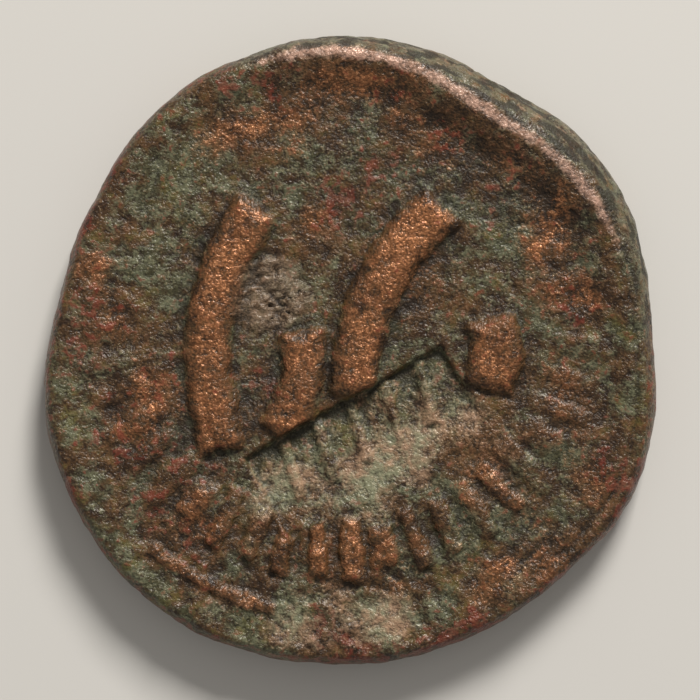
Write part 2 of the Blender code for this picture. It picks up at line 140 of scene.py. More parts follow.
# Head on the obverse, in shares of its height
HEAD_HEIGHT = 11.6 * MM
HEAD_MIDDLE_V = 0.9 * MM
HEAD_RELIEF = 0.36 * MM
HEAD_SLOPE = 0.7 * MM
HEAD_OUTLINE = (
    (0.00, 1.00), (0.20, 0.96), (0.35, 0.86), (0.415, 0.74), (0.435, 0.655), (0.405, 0.60),
    (0.445, 0.50), (0.505, 0.405), (0.43, 0.365), (0.45, 0.305), (0.415, 0.275), (0.435, 0.235),
    (0.395, 0.19), (0.41, 0.11), (0.34, 0.02), (0.18, 0.00), (0.09, -0.10), (0.10, -0.25),
    (0.20, -0.37), (-0.05, -0.41), (-0.33, -0.36), (-0.30, -0.16), (-0.31, 0.08), (-0.40, 0.30),
    (-0.47, 0.56), (-0.42, 0.80), (-0.24, 0.95),
)  # fmt: skip
HEAD_FORMS = (  # u, v, half spread along u, half spread along v, height
    (0.20, 0.36, 0.15, 0.13, 0.014),  # cheek
    (0.37, 0.66, 0.09, 0.03, 0.013),  # brow
    (0.34, 0.575, 0.075, 0.035, -0.024),  # eye socket
    (0.335, 0.565, 0.045, 0.02, 0.021),  # eyeball
    (0.43, 0.45, 0.035, 0.08, 0.007),  # nose
    (0.405, 0.385, 0.03, 0.02, 0.008),  # wing of the nose
    (0.42, 0.318, 0.05, 0.013, 0.006),  # upper lip
    (0.42, 0.275, 0.055, 0.012, -0.014),  # mouth
    (0.41, 0.24, 0.05, 0.013, 0.006),  # lower lip
    (0.38, 0.19, 0.05, 0.02, -0.010),  # crease over the chin
    (-0.01, 0.46, 0.055, 0.09, 0.014),  # ear
    (0.0, 0.47, 0.025, 0.055, -0.021),  # hollow of the ear
    (0.10, 0.03, 0.16, 0.035, -0.017),  # under the jaw
    (-0.12, -0.10, 0.05, 0.18, 0.007),  # muscle of the neck
)
HAIR_EDGE = ((0.33, 0.82), (0.10, 0.62), (0.06, 0.50), (-0.10, 0.30), (-0.28, 0.12))
HAIR_FROM, HAIR_FULL = -0.01, 0.02  # past the hair's edge
HAIR_RAISED = 0.003
LOCK_PITCH = 0.12
LOCK_SLANT = 0.35
LOCK_BEND = 0.1
LOCK_BENDS = 9
LOCK_RELIEF = 0.011
OBVERSE_RING_RADIUS = 10.2 * MM
OBVERSE_RING_FROM, OBVERSE_RING_TO = -56, 236
OBVERSE_RING_RELIEF = 0.15 * MM

# Wear and corrosion
LUMP_TABLE = 256
LUMP_GAIN = 1.7
SKIN_LUMPS = ((2.3 * MM, 0.065 * MM), (1.0 * MM, 0.05 * MM), (0.42 * MM, 0.03 * MM))  # size, height
RAGGED = ((1.3 * MM, 0.12 * MM), (0.45 * MM, 0.05 * MM))  # uneven sides of strokes: size, depth
MARK_RAGGED = 0.5  # the same on the countermark's outline, as a share
UPPER_FADE = 0.5 * MM  # above the belly, over which the reverse's own wear sets in
STROKES_SPARED = 0.3  # share of the lumps that bold strokes on the reverse are without
COARSE_CENTRE = 262  # degrees: the skin is lumpiest here
COARSE_SPREAD = 48
COARSE_FROM, COARSE_FULL = 6 * MM, 9 * MM  # from the coin's middle
COARSE_FADE = 0.5 * MM  # inside the outline
COARSE_GAIN = 0.6
COARSE_SIZE = 0.42 * MM
COARSE_HEIGHT = 0.1 * MM
POROUS_MIDDLE = (-3.75 * MM, 2.35 * MM)
POROUS_SIZE = (2.0 * MM, 1.65 * MM)
POROUS_KNOBS = ((0.7 * MM, 0.13 * MM), (0.3 * MM, 0.11 * MM))  # size, height
POROUS_PITS = 1.4  # how much deeper than elsewhere
MOAT_AT, MOAT_SPREAD = 0.98, 0.1  # groove round the porous patch, as shares of its size
MOAT_DEPTH = 0.07 * MM
FEW_PITS = 0.35  # how deep scattered pits are, as a share
WANDER_SIZE = 1.4 * MM
WANDER = 0.12 * MM
SEAM_INSET = 0.9 * MM  # a fold in the right edge, from the outline
SEAM_WIDTH = 0.12 * MM
SEAM_DEPTH = 0.11 * MM
SEAM_FROM, SEAM_TO = -50, 24
LEDGE_INSET = 0.75 * MM  # a line along the upper right edge
LEDGE_WIDTH = 0.12 * MM
LEDGE_DEPTH = 0.09 * MM
LEDGE_FROM, LEDGE_TO = 24, 86
STREAK_SIZE = 0.5 * MM
STREAK_DRAW = 2  # how drawn out streaks are along the edge
CRACK = ((-6.35, -1.7), (-6.1, -3.1), (-5.55, -4.4))  # mm
CRACK_HALF_WIDTH = 0.07 * MM
CRACK_DEPTH = 0.08 * MM
HOLLOW_ROUNDS = 40  # of smoothing, against which hollows are found
HOLLOW_SHADE_DEPTH = 0.14 * MM  # of a hollow that gets the full painted shade

# Patina, and the painted highlight on the rim's crest: shares of the masks
BORDER_METAL = 0.8
HEAD_METAL = 0.55
STROKE_METAL = (0.48, 0.12)  # everywhere, and where the patina has kept off
RING_METAL = 0.3
THIN_METAL = 0.2
# Band of the painted highlight along the rim's crest: its place, width and the directions it spans
CREST_HIGHLIGHT_INSET = 0.95  # of the shoulder
CREST_HIGHLIGHT_WIDTH = 0.37 * MM
CREST_HIGHLIGHT_FROM, CREST_HIGHLIGHT_TO = 22, 110
WEATHERED_FROM, WEATHERED_TO = 5, 112
TURN_FADE = 12  # degrees

# Grains of the patina
FINE_GRAIN = 0.11 * MM
MEDIUM_GRAIN = 0.32 * MM
THIRD_GRAIN = 0.55 * MM
SECOND_GRAIN = 0.85 * MM
WIDE_GRAIN = 1.3 * MM
PEBBLE_SIZE = 0.16 * MM

# Mesh
REVERSE_CELLS = 256
EDGE_STEPS = 13
EDGE_STEEPEST = 62  # degrees up the edge's rounding, where the faces' grids end
OUTLINE_STEP = 2.5  # degrees
CAMERA_NEAR = 0.005


def ease(value, low, high):
    """0 below low, 1 above high and smooth between them."""
    share = np.clip((value - low) / (high - low), 0, 1)
    return share * share * (3 - 2 * share)


def swell(angle, centre, spread):
    """A bump of height 1 round the coin: all in degrees."""
    away = (angle - centre + 180) % 360 - 180
    return np.exp(-((away / spread) ** 2))


def stretch(angle, first, last, fade=6):
    """1 from one direction to another round the coin, fading at both ends: all in degrees."""
    away = np.abs((angle - (first + last) / 2 + 180) % 360 - 180)
    return 1 - ease(away, (last - first) / 2 - fade, (last - first) / 2 + fade)


def lumps(points, size, seed):
    """Smooth lumps of one size, from about -1 to 1, at points in metres."""
    draw = np.random.default_rng(seed)
    slopes = draw.normal(size=(LUMP_TABLE, 3))
    slopes /= np.linalg.norm(slopes, axis=1)[:, None]
    order = draw.permutation(LUMP_TABLE)
    cell = points / size
    base = np.floor(cell).astype(int)
    part = cell - base
    fade = part**3 * (part * (part * 6 - 15) + 10)
    total = np.zeros(len(points))
    for corner in product((0, 1), repeat=3):
        i, j, k = (base + corner).T % LUMP_TABLE
        slope = slopes[order[(order[(order[i] + j) % LUMP_TABLE] + k) % LUMP_TABLE]]
        weight = np.prod(np.where(corner, fade, 1 - fade), axis=1)
        total += weight * (slope * (part - corner)).sum(axis=1)
    return total * LUMP_GAIN


def flan_radius(angle):
    swells = (size * swell(angle, centre, spread) for centre, spread, size in FLAN_LOBES)
    return FLAN_RADIUS + sum(swells)


def upper_shoulder(angle):
    return SHOULDER + SHOULDER_SWELL * swell(angle, SHOULDER_CENTRE, SHOULDER_SPREAD)


def rim_height(angle):
    return RIM_HEIGHT + RIM_SWELL * swell(angle, RIM_CENTRE, RIM_SPREAD)


def polar(x, y):
    return np.hypot(x, y), np.degrees(np.arctan2(y, x))


def heading(angle):
    """One step in a direction in degrees."""
    return np.array([math.cos(math.radians(angle)), math.sin(math.radians(angle))])


def past_box(past_sides, past_ends):
    """Distance outside a rectangle, less than 0 inside, from how far past its lines a point is."""
    beyond = np.hypot(np.maximum(past_sides, 0), np.maximum(past_ends, 0))
    return beyond + np.minimum(np.maximum(past_sides, past_ends), 0)


class Stroke:
    """A raised bar with square ends along a smooth line through three points, in metres."""

    def __init__(self, ends, half_width, height, flare=0.0, slope=RELIEF_SLOPE, stations=12):
        start, middle, end = (np.array(p, float) for p in ends)
        t = np.linspace(0, 1, stations + 1)[:, None]
        self.line = (1 - t) * (1 - 2 * t) * start + 4 * t * (1 - t) * middle + t * (2 * t - 1) * end
        steps = np.diff(self.line, axis=0)
        self.lengths = np.hypot(*steps.T)
        self.along = steps / self.lengths[:, None]
        self.begins = np.concatenate([[0], np.cumsum(self.lengths)])[:-1]
        self.length = self.lengths.sum()
        self.half_width, self.height, self.flare = half_width, height, flare
        self.slope = min(slope / 2, half_width * 0.6)

    def outside(self, points):
        """How far each point is outside the bar, and less than 0 inside it."""
        rel = points[:, None, :] - self.line[None, :-1]
        low, high = np.zeros(len(self.lengths)), self.lengths.copy()
        low[0], high[-1] = -np.inf, np.inf
        run = np.clip((rel * self.along).sum(axis=2), low, high)
        off = np.hypot(*np.moveaxis(rel - run[..., None] * self.along, 2, 0))
        nearest = off.argmin(axis=1)
        rows = np.arange(len(points))
        s = self.begins[nearest] + run[rows, nearest]
        width = self.half_width + self.flare * np.clip(np.abs(2 * s / self.length - 1), 0, 1) ** 4
        side = off[rows, nearest] - width
        end = np.abs(s - self.length / 2) - self.length / 2
        return past_box(side, end)

    def relief(self, points, ragged, share=1.0):
        """The bar's height, or its share, at points near it, its outline moved by ragged."""
        reach = self.length / 2 + self.half_width + self.flare + 4 * self.slope
        near = np.hypot(*(points - self.line.mean(axis=0)).T) < reach
        result = np.zeros(len(points))
        if near.any():
            soft = self.slope * 1.15
            across = np.clip((self.outside(points[near]) + ragged[near] + soft) / (2 * soft), 0, 1)
            result[near] = self.height * share * (1 - across**2) ** STROKE_CROWN
        return result


def tallest(strokes, points, ragged):
    return np.max([bar.relief(points, ragged) for bar in strokes], axis=0)


def on_die(point):
    """A point given in millimetres from the die's centre."""
    return DIE_X + point[0] * MM, DIE_Y + point[1] * MM


def bold_strokes(height):
    return [
        Stroke(map(on_die, line), half_width, height, STROKE_FLARE, BOLD_SLOPE)
        for *line, half_width in BOLD_STROKES
    ]


def border_stroke():
    """The piece of the border line that is left."""
    directions = BORDER_FROM, (BORDER_FROM + BORDER_TO) / 2, BORDER_TO
    ends = [(DIE_X, DIE_Y) + BORDER_RADIUS * heading(angle) for angle in directions]
    return Stroke(ends, BORDER_WIDTH / 2, BORDER_HEIGHT)


def radial_strokes(centre, radius, first, last, relief_at):
    """A ring of bars that point outwards, with their slants and sizes from LEGEND_PATTERN."""
    strokes = []
    for number, angle in enumerate(np.arange(first, last + 0.01, LEGEND_PITCH)):
        slant, tall, wide = LEGEND_PATTERN[number % len(LEGEND_PATTERN)]
        middle = centre + heading(angle) * radius
        half = heading(angle + slant) * LEGEND_HEIGHT * tall / 2
        ends = middle - half, middle, middle + half
        strokes.append(Stroke(ends, LEGEND_HALF_WIDTH * wide, relief_at(angle), stations=2))
    return strokes


def mark_point(a, b):
    """A point of the countermark: a along it from its upper right corner and b across it."""
    turn = math.radians(MARK_TILT)
    return (
        MARK_CORNER[0] - a * math.cos(turn) + b * math.sin(turn),
        MARK_CORNER[1] - a * math.sin(turn) - b * math.cos(turn),
    )


def in_mark(points, ragged):
    """How far across the countermark each point is, and 1 on its floor falling to 0 up its wall."""
    turn = math.radians(MARK_TILT)
    dx, dy = (points - np.array(MARK_CORNER)).T
    a = -dx * math.cos(turn) - dy * math.sin(turn)
    b = dx * math.sin(turn) - dy * math.cos(turn)
    past_a = np.abs(a - MARK_LENGTH / 2) - MARK_LENGTH / 2
    past_b = np.abs(b - MARK_WIDTH / 2) - MARK_WIDTH / 2
    return b, 1 - ease(past_box(past_a, past_b) + ragged * MARK_RAGGED, -MARK_WALL, 0)


def mark_strokes(height):
    """A row of thin bars across the countermark's floor."""
    strokes = []
    pitch = MARK_LENGTH / (MARK_STROKES + 1)
    half = MARK_STROKE_LENGTH / 2
    lean = math.tan(math.radians(MARK_STROKE_LEAN)) * half
    middle_b = MARK_WALL + half
    for number in range(MARK_STROKES):
        middle_a = pitch * (number + 1)
        ends = [mark_point(middle_a + lean * end, middle_b + half * end) for end in (-1, 0, 1)]
        strokes.append(Stroke(ends, MARK_STROKE_HALF_WIDTH, height, stations=2))
    return strokes


def rounded_rise(inside, shoulder):
    """The rounded run of an edge: 0 at the outline, 1 at the crest of the rim."""
    return np.sqrt(1 - np.clip(1 - inside / shoulder, 0, 1) ** 2)


def reverse_face(points, form):
    """Levels of the reverse at (x, y) points, and its masks by name."""
    radius, angle = polar(*points.T)
    inside = flan_radius(angle) - radius
    shoulder, height = upper_shoulder(angle), rim_height(angle)
    crest = REVERSE_FIELD + height
    fall = ease(inside, shoulder, shoulder + RIM_SLOPE)
    foot = flan_radius(angle) - shoulder - RIM_SLOPE
    dish = FIELD_DISH * (1 - np.clip(radius / foot, 0, 1) ** 2)
    struck = ease(inside, shoulder, shoulder + RIM_SLOPE / 2)
    flat = np.column_stack([points, np.zeros(len(points))])
    ragged = sum(depth * lumps(flat, size, 11 + n) for n, (size, depth) in enumerate(RAGGED))

    def legend_relief(at):
        clear = swell(at, LEGEND_CLEAREST, LEGEND_CLEAR_SPREAD)
        return form.ring_height * (LEGEND_WORN_SHARE + (1 - LEGEND_WORN_SHARE) * clear)

    ends = LEGEND_FROM, LEGEND_TO
    ring = radial_strokes((DIE_X, DIE_Y), LEGEND_RADIUS, *ends, legend_relief)
    bold = tallest(bold_strokes(form.stroke_height), points, ragged)
    border = border_stroke().relief(points, ragged)
    small = tallest(ring, points, ragged)
    across, floor = in_mark(points, ragged)
    design = struck * np.max([bold, small, border], axis=0) * (1 - floor)
    shallower = np.clip(1 - across / MARK_WIDTH, 0, 1)
    level = crest - height * fall - dish * fall + design
    thin = tallest(mark_strokes(form.mark_stroke_height), points, ragged)
    level += floor * (thin - form.mark_depth * shallower)
    edge = BELLY_LEVEL + (crest - BELLY_LEVEL) * rounded_rise(inside, shoulder)
    proud = np.maximum(bold / form.stroke_height, BORDER_METAL * border / BORDER_HEIGHT)
    masks = {
        "bold": struck * proud * (1 - floor),
        "small": struck * small / form.ring_height * (1 - floor),
        "mark": floor * shallower,
        "thin": floor * thin / form.mark_stroke_height,
    }
    return np.where(inside < shoulder, edge, level), masks


def smooth_loop(points, per_span=6):
    """A closed smooth curve through the points."""
    p = np.array(points, float)
    before, after, next_after = (np.roll(p, shift, axis=0) for shift in (1, -1, -2))
    t = (np.arange(per_span) / per_span)[None, :, None]
    a, b, c, d = (q[:, None, :] for q in (before, p, after, next_after))
    curve = 0.5 * (
        2 * b + (c - a) * t + (2 * a - 5 * b + 4 * c - d) * t**2 + (3 * b - a - 3 * c + d) * t**3
    )
    return curve.reshape(-1, 2)


def distance_inside(points, loop):
    """Distance from each point to a closed loop, and 0 for the points outside it."""
    start, step = loop, np.roll(loop, -1, axis=0) - loop
    rel = points[:, None, :] - start[None]
    share = np.clip((rel * step).sum(axis=2) / (step**2).sum(axis=1), 0, 1)
    off = np.hypot(*np.moveaxis(rel - share[..., None] * step, 2, 0)).min(axis=1)
    x, y = points.T
    inside = np.zeros(len(points), bool)
    for (x0, y0), (x1, y1) in zip(loop, np.roll(loop, -1, axis=0)):
        if y0 != y1:
            inside ^= ((y0 > y) != (y1 > y)) & (x < x0 + (x1 - x0) * (y - y0) / (y1 - y0))
    return np.where(inside, off, 0)


def head_relief(points):
    """How far the head stands out of the obverse at (u, v) points."""
    loop = smooth_loop(HEAD_OUTLINE) * HEAD_HEIGHT + np.array([0, HEAD_MIDDLE_V - HEAD_HEIGHT / 2])
    body = ease(distance_inside(points, loop), 0, HEAD_SLOPE)
    u, v = points.T
    share_u, share_v = u / HEAD_HEIGHT, (v - HEAD_MIDDLE_V) / HEAD_HEIGHT + 0.5
    forms = sum(
        size * np.exp(-(((share_u - at_u) / wide) ** 2) - ((share_v - at_v) / tall) ** 2)
        for at_u, at_v, wide, tall, size in HEAD_FORMS
    )
    edge_u, edge_v = np.array(HAIR_EDGE).T
    hairline = np.interp(share_u, edge_u[::-1], edge_v[::-1], right=2)
    hair = ease(share_v - hairline, HAIR_FROM, HAIR_FULL)
    wave = share_v - LOCK_SLANT * share_u + LOCK_BEND * np.sin(LOCK_BENDS * share_u)
    locks = np.sin(2 * math.pi * wave / LOCK_PITCH)
    forms += hair * (HAIR_RAISED + LOCK_RELIEF * locks)
    return body * (HEAD_RELIEF + forms * HEAD_HEIGHT)


def obverse_face(points):
    """Levels of the obverse at (x, y) points, and its masks by name."""
    radius, angle = polar(*points.T)
    inside = flan_radius(angle) - radius
    fall = ease(inside, LOWER_SHOULDER, LOWER_SHOULDER + RIM_SLOPE)
    struck = ease(inside, LOWER_SHOULDER, LOWER_SHOULDER + RIM_SLOPE / 2)
    mirrored = points * np.array([-1, 1])
    flat = np.column_stack([points, np.zeros(len(points))])
    ragged = sum(depth * lumps(flat, size, 21 + n) for n, (size, depth) in enumerate(RAGGED))
    ends = OBVERSE_RING_FROM, OBVERSE_RING_TO
    ring = radial_strokes((0, 0), OBVERSE_RING_RADIUS, *ends, lambda angle: OBVERSE_RING_RELIEF)
    small = tallest(ring, mirrored, ragged)
    head = head_relief(mirrored)
    level = (OBVERSE_FIELD + RUBBED) * fall - struck * np.maximum(head, small)
    widest = BELLY_LEVEL + RUBBED
    edge = widest - widest * rounded_rise(inside, LOWER_SHOULDER)
    level = np.where(inside < LOWER_SHOULDER, edge, level)
    masks = {
        "bold": HEAD_METAL * struck * head / HEAD_RELIEF,
        "small": struck * small / OBVERSE_RING_RELIEF,
    }
    return np.maximum(level - RUBBED, 0), masks


def disc_grid(cells, boundary):
    """A grid of squares bent to a round boundary: its points, squares and the boundary's numbers."""
    side = np.linspace(-1, 1, cells + 1)
    p, q = np.meshgrid(side, side)
    ring = np.maximum(np.abs(p), np.abs(q))
    beside = np.abs(p) >= np.abs(q)
    across = np.where(beside, q / np.where(p == 0, 1, p), p / np.where(q == 0, 1, q))
    quarter = np.where(beside, np.where(p >= 0, 0, 180), np.where(q >= 0, 90, 270))
    angle = (quarter + np.where(beside, 45, -45) * across) % 360
    reach, around = boundary(angle) * ring, np.radians(angle)
    points = np.column_stack([(reach * np.cos(around)).ravel(), (reach * np.sin(around)).ravel()])
    number = np.arange((cells + 1) ** 2).reshape(cells + 1, cells + 1)
    squares = np.stack([number[:-1, :-1], number[:-1, 1:], number[1:, 1:], number[1:, :-1]], axis=2)
    rim = np.concatenate([number[:-1, -1], number[-1, :0:-1], number[:0:-1, 0], number[0, :-1]])
    return points, squares.reshape(-1, 4), rim


def edge_points(angle, step):
    """Points of the edge at one step round its rounding, in degrees up from where it is widest."""
    turn = math.radians(abs(step))
    if step >= 0:
        shoulder, crest = upper_shoulder(angle), REVERSE_FIELD + rim_height(angle)
    else:
        shoulder, crest = np.full(len(angle), LOWER_SHOULDER), np.full(len(angle), -RUBBED)
    radius = flan_radius(angle) - shoulder * (1 - math.cos(turn))
    level = BELLY_LEVEL + (crest - BELLY_LEVEL) * math.sin(turn)
    around = np.radians(angle)
    return np.stack([radius * np.cos(around), radius * np.sin(around), level], axis=1)


def coin_surface(form):
    """The unworn coin: points, faces as arrays of squares and of triangles, and masks by name."""
    lean = 1 - math.cos(math.radians(EDGE_STEEPEST))

    def top_end(angle):
        return flan_radius(angle) - upper_shoulder(angle) * lean

    def low_end(angle):
        return flan_radius(angle) - LOWER_SHOULDER * lean

    top_xy, top_squares, top_rim = disc_grid(REVERSE_CELLS, top_end)
    low_xy, low_squares, low_rim = disc_grid(REVERSE_CELLS // 2, low_end)
    top_z, top_masks = reverse_face(top_xy, form)
    low_z, low_masks = obverse_face(low_xy)
    angle = np.degrees(np.arctan2(*top_xy[top_rim].T[::-1]))
    steps = np.linspace(EDGE_STEEPEST, -EDGE_STEEPEST, EDGE_STEPS + 2)[1:-1]
    edge = [edge_points(angle, step) for step in steps]
    top, bottom = np.column_stack([top_xy, top_z]), np.column_stack([low_xy, low_z])
    points = np.concatenate([top, *edge, bottom])
    count = len(top_rim)
    rings = [top_rim, *(len(top_xy) + n * count + np.arange(count) for n in range(EDGE_STEPS))]
    squares = [top_squares]
    for upper, lower in zip(rings, rings[1:]):
        squares.append(np.stack([upper, lower, np.roll(lower, -1), np.roll(upper, -1)], axis=1))
    low_start = len(top_xy) + EDGE_STEPS * count
    squares.append(low_start + low_squares[:, ::-1])
    low = low_start + low_rim
    last, after = rings[-1], np.roll(low, -1)
    even, odd, following = last[::2], last[1::2], np.roll(last[::2], -1)
    triangles = np.concatenate([
        np.stack([low, odd, even], axis=1),
        np.stack([low, after, odd], axis=1),
        np.stack([after, following, odd], axis=1),
    ])
    masks = {}
    for name, values in top_masks.items():
        masks[name] = np.zeros(len(points))
        masks[name][: len(values)] = values
    for name, values in low_masks.items():
        masks[name][low_start:] = values
    return points, np.concatenate(squares), triangles, masks


def surface_normals(points, squares, triangles):
    """Directions that the surface faces at its points."""
    normals = np.zeros_like(points)
    for faces in (squares, triangles):
        corners = points[faces]
        facing = np.cross(corners[:, 2] - corners[:, 0], corners[:, -1] - corners[:, 1])
        for n in range(faces.shape[1]):
            np.add.at(normals, faces[:, n], facing)
    return normals / np.maximum(np.linalg.norm(normals, axis=1), 1e-30)[:, None]


def blurred(points, squares, rounds):
    """The points after each has moved to its neighbours' middle a number of times."""
    links = np.concatenate([squares[:, [n, (n + 1) % 4]] for n in range(4)])
    share = sum(np.bincount(end, minlength=len(points)) for end in links.T)
    for _ in range(rounds):
        total = np.zeros_like(points)
        for near, far in (links.T, links.T[::-1]):
            for axis in range(3):
                total[:, axis] += np.bincount(near, points[far, axis], len(points))
        points = total / share[:, None]
    return points


def along_edge(points):
    """Places for lumps that are drawn out along the edge."""
    x, y, z = points.T
    radius, angle = polar(x, y)
    inside = flan_radius(angle) - radius
    around = np.radians(angle) * radius
    return np.column_stack([inside * STREAK_DRAW, around / STREAK_DRAW, z * STREAK_DRAW])


def wear(points, masks, form):
    """How far each point of the surface stands in or out, from wear, corrosion and cracks."""
    x, y, z = points.T
    radius, angle = polar(x, y)
    inside = flan_radius(angle) - radius
    upper = ease(z, BELLY_LEVEL, BELLY_LEVEL + UPPER_FADE)
    depth = sum(height * lumps(points, size, 31 + n) for n, (size, height) in enumerate(SKIN_LUMPS))
    coarse = swell(angle, COARSE_CENTRE, COARSE_SPREAD) * ease(radius, COARSE_FROM, COARSE_FULL)
    coarse *= ease(inside, 0, COARSE_FADE) * upper
    damped = np.where(z < BELLY_LEVEL, 1.0, STROKES_SPARED) * masks["bold"]
    depth *= form.lumpiness * (1 - damped) * (1 + COARSE_GAIN * coarse)
    depth += COARSE_HEIGHT * coarse * lumps(points, COARSE_SIZE, 49)

    away = np.hypot(*((points[:, :2] - POROUS_MIDDLE) / POROUS_SIZE).T)
    away += 0.25 * lumps(points, 0.9 * MM, 41)
    porous = (1 - ease(away, 0.75, 1.1)) * upper * (1 - masks["bold"])
    holes = ease(lumps(points, 0.42 * MM, 42) * lumps(points, 0.3 * MM, 43), 0.12, 0.3)
    knobs = sum(tall * lumps(points, size, 47 + n) for n, (size, tall) in enumerate(POROUS_KNOBS))
    moat = np.exp(-(((away - MOAT_AT) / MOAT_SPREAD) ** 2)) * upper * (1 - masks["bold"])
    depth += porous * (knobs - POROUS_PITS * form.pit_depth * holes) - MOAT_DEPTH * moat
    few = ease(lumps(points, 0.5 * MM, 44), 0.42, 0.7) * ease(lumps(points, 3 * MM, 45), -0.1, 0.4)
    depth -= FEW_PITS * form.pit_depth * few

    wander = WANDER * lumps(points, WANDER_SIZE, 46)
    off_seam = (inside - SEAM_INSET + wander) / SEAM_WIDTH
    seam = np.exp(-(off_seam**2)) * stretch(angle, SEAM_FROM, SEAM_TO)
    depth -= SEAM_DEPTH * seam * upper
    ledge = ease(inside + wander, LEDGE_INSET - LEDGE_WIDTH, LEDGE_INSET + LEDGE_WIDTH)
    below = (1 - ledge) * stretch(angle, LEDGE_FROM, LEDGE_TO) * upper
    depth -= LEDGE_DEPTH * below * (1 - lumps(along_edge(points), STREAK_SIZE, 50))
    crack = Stroke([np.array(p) * MM for p in CRACK], CRACK_HALF_WIDTH, 1.0)
    depth -= CRACK_DEPTH * crack.relief(points[:, :2], wander) * upper
    masks["porous"] = porous
    masks["seam"] = np.maximum(seam * upper, 0)
    return depth


# Patches of colour on the reverse: x, y and half spread in mm, and strength
COPPER_PATCHES = (
    (-5.7, 9.3, 1.4, 0.5), (-3.0, 9.5, 1.6, 0.5), (-0.4, 11.7, 1.6, 0.4), (2.0, 11.4, 1.3, 0.4),
    (3.4, 9.3, 1.8, 0.35), (7.2, 7.2, 1.8, 0.3), (8.9, 5.5, 1.2, 0.35), (8.5, 2.5, 1.2, 0.4),
    (7.6, 4.4, 1.0, 0.45), (10.2, 2.1, 0.8, 0.4), (8.9, -0.9, 1.3, 0.3), (3.0, 3.6, 2.0, 0.3),
    (-1.7, 5.4, 1.0, 0.5), (-11.0, 3.8, 1.0, 0.4), (-10.2, 1.2, 1.3, 0.4), (-8.5, -1.7, 1.4, 0.45),
    (-9.3, -3.5, 1.0, 0.35), (-6.8, -7.2, 1.4, 0.35), (6.0, -6.0, 1.4, 0.2), (4.6, -3.4, 1.8, 0.35),
    (8.9, -3.0, 1.4, 0.2), (10.2, -5.1, 1.2, 0.4), (8.1, -8.9, 1.8, 0.4), (5.5, -10.2, 1.2, 0.4),
    (-6.6, -10.0, 0.8, 0.3), (2.6, -10.4, 1.0, 0.25), (-0.6, -8.4, 3.2, 0.25),
)  # fmt: skip
CUPRITE_PATCHES = (
    (-3.4, 11.2, 1.0, 0.6), (-5.4, 11.4, 0.8, 0.6), (-0.4, 6.1, 1.1, 0.9), (1.3, 7.8, 1.0, 0.7),
    (-10.6, 1.7, 1.2, 0.6), (-11.7, -0.4, 1.0, 0.5), (-10.2, -3.9, 1.0, 0.4), (-8.1, -4.3, 1.2, 0.45),
    (-8.5, -6.4, 0.9, 0.55), (-6.4, -5.1, 1.0, 0.5), (-6.8, -7.8, 1.2, 0.4), (-11.9, -6.0, 0.8, 0.7),
    (-3.6, -1.5, 0.8, 0.8), (-0.9, -11.6, 0.9, 0.8), (0.4, -12.5, 0.9, 0.9), (3.4, -12.3, 0.8, 0.9),
    (5.1, -11.7, 1.0, 0.8), (11.5, -5.6, 1.0, 0.5), (10.6, -4.3, 1.0, 0.6), (1.5, 11.3, 0.8, 0.5),
    (8.9, 2.1, 1.2, 0.4), (-8.5, -1.3, 1.2, 0.5), (-10.0, 8.0, 0.8, 0.6), (-11.1, 5.1, 0.8, 0.6),
    (6.2, 6.4, 1.4, 0.4), (4.0, 9.0, 1.0, 0.5),
)  # fmt: skip
# Dark patina, and painted shade where the field inside the upper and upper right rim faces away from
# the light
DARK_AND_SHADED_PATCHES = (
    (7.3, 6.4, 2.2, 0.5), (4.6, 7.2, 1.6, 0.4), (-6.0, 4.9, 1.2, 0.3), (2.0, 1.4, 1.2, 0.2),
    (-7.6, -3.6, 1.0, 0.3), (-2.0, 0.6, 1.2, 0.3), (9.4, 4.6, 1.2, 0.25), (-2.5, -2.6, 0.5, 0.5),
    (-0.4, 9.2, 2.2, 0.35), (8.1, -8.1, 1.8, 0.4),
)  # fmt: skip
PALE_PATCHES = (
    (-1.2, -5.6, 2.2, 0.5), (1.6, -5.0, 2.0, 0.5), (-5.0, 9.4, 1.6, 0.3), (-3.6, -5.9, 1.4, 0.6),
    (3.6, -3.4, 2.0, 0.4), (6.2, -3.6, 1.6, 0.3), (-0.6, 4.6, 1.6, 0.3), (1.8, -11.6, 1.0, 0.9),
    (-2.9, -11.6, 1.4, 0.9), (-5.6, -10.8, 1.2, 0.4), (-0.2, -11.0, 1.3, 0.6), (-11.4, -2.6, 1.0, 0.3),
)  # fmt: skip
GREEN_PATCHES = (
    (-4.2, 10.8, 1.0, 0.5), (-6.8, 9.3, 1.2, 0.6), (-8.1, 7.0, 1.6, 0.4), (-6.0, 7.4, 1.2, 0.35),
    (-2.3, 7.6, 1.4, 0.6), (-10.2, 4.2, 1.0, 0.4), (-8.5, 2.5, 1.4, 0.35), (-9.3, -0.4, 1.0, 0.5),
    (-12.3, -1.7, 0.8, 0.7), (-11.7, -3.0, 0.8, 0.6), (-11.0, -7.2, 1.0, 0.6), (-9.8, -8.9, 1.2, 0.6),
    (-7.6, -11.0, 1.2, 0.6), (-4.2, -12.3, 1.4, 0.6), (-2.6, -10.6, 1.2, 0.4), (1.7, -11.5, 1.0, 0.5),
    (3.8, -10.6, 1.0, 0.5), (4.2, 6.4, 1.2, 0.6), (6.4, 5.5, 1.4, 0.6), (6.0, 3.4, 1.4, 0.5),
    (8.1, 0.6, 1.2, 0.4), (11.0, 0.4, 1.0, 0.6), (11.9, -2.1, 0.8, 0.5), (8.1, -4.7, 1.0, 0.5),
    (8.9, -6.4, 1.2, 0.5), (5.5, -8.1, 1.4, 0.5), (0.2, 0.8, 1.0, 0.4), (3.0, -5.8, 2.0, 0.3),
)  # fmt: skip


